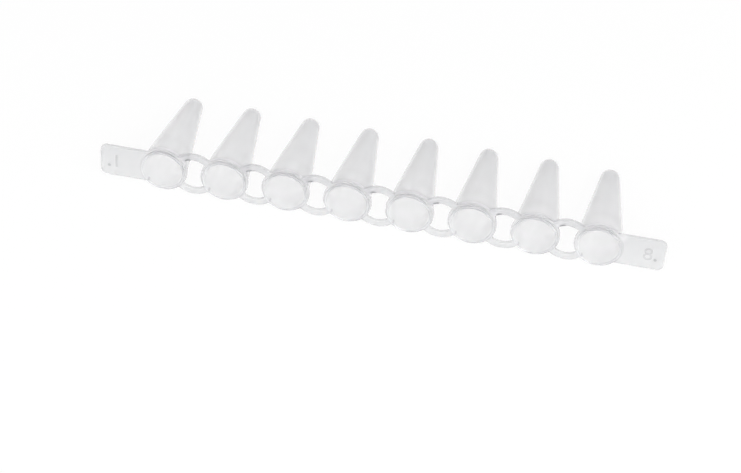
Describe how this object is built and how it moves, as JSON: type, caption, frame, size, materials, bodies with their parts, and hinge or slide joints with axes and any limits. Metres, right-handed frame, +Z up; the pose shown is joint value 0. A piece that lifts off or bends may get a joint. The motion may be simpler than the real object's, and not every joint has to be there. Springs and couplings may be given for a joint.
{
  "type": "pcr tube strip",
  "caption": "One-piece strip of small open conical reaction tubes in a row, joined by ring-shaped links, with a flat tab at each end, lying on its side.",
  "frame": {"origin": "middle of the bounding box in X and Y, at the level of the surface the strip lies on", "axes": "+X along the row of tubes, +Y from the open mouths towards the closed tips, +Z up with the strip lying on its side"},
  "size_m": [0.0816, 0.0182, 0.007],
  "materials": {
    "polypropylene": "smooth, slightly glossy, milky translucent natural polypropylene"
  },
  "bodies": {
    "root": {"tube_strip": "polypropylene"}
  },
  "joints": []
}
